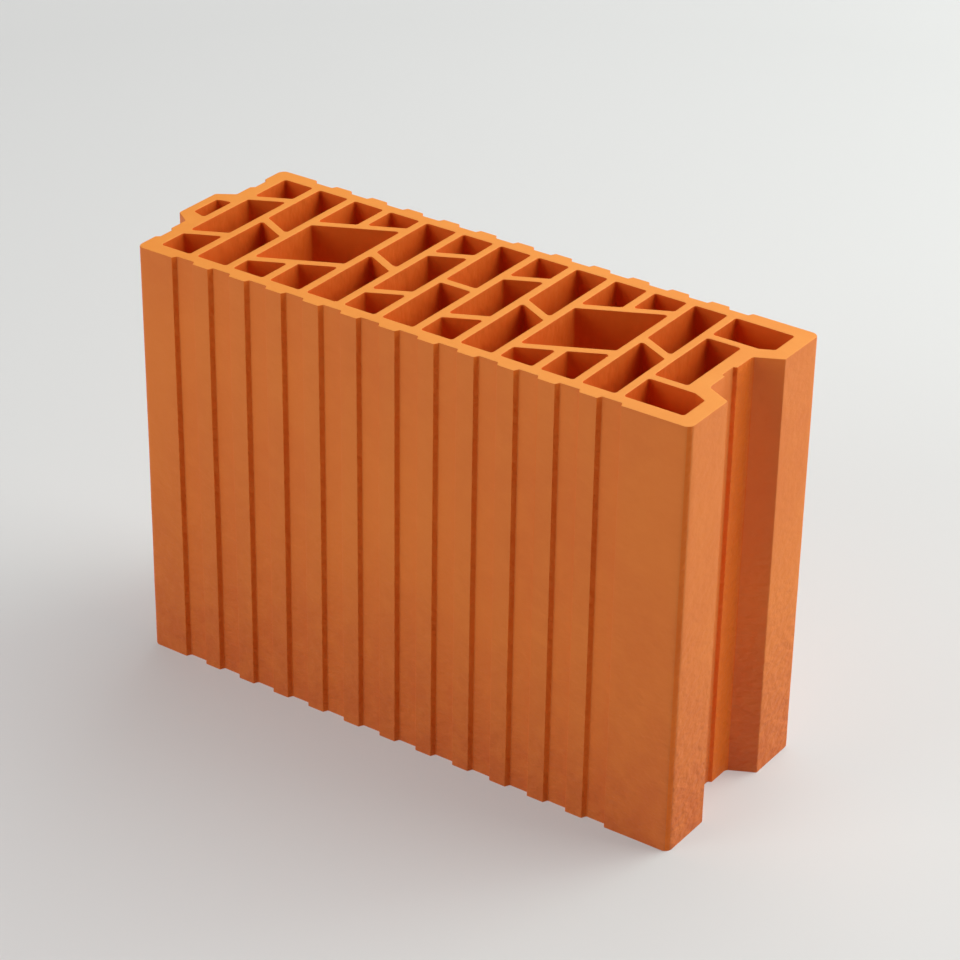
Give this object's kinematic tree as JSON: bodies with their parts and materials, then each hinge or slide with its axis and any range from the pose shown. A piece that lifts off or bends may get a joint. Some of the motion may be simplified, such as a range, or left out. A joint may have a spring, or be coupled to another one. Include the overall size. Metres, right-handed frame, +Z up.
{
  "type": "vertically perforated clay block",
  "caption": "Tall hollow fired-clay block for a thin wall, with a lattice of slanted vertical cells, ribbed plaster faces, a tongue at one end and a socket at the other.",
  "frame": {"origin": "middle of the underside of the block's overall box, tongue included, on the surface it stands on", "axes": "+X along the wall from the tongue to the socket, +Y through the wall from the front plaster face to the back one, +Z up along the cells"},
  "size_m": [0.3394, 0.12, 0.238],
  "materials": {
    "fired_clay": "fired terracotta, matt, with the fine vertical drag marks of extrusion and wire-cut bed faces"
  },
  "bodies": {
    "root": {"brick_body": "fired_clay"}
  },
  "joints": []
}
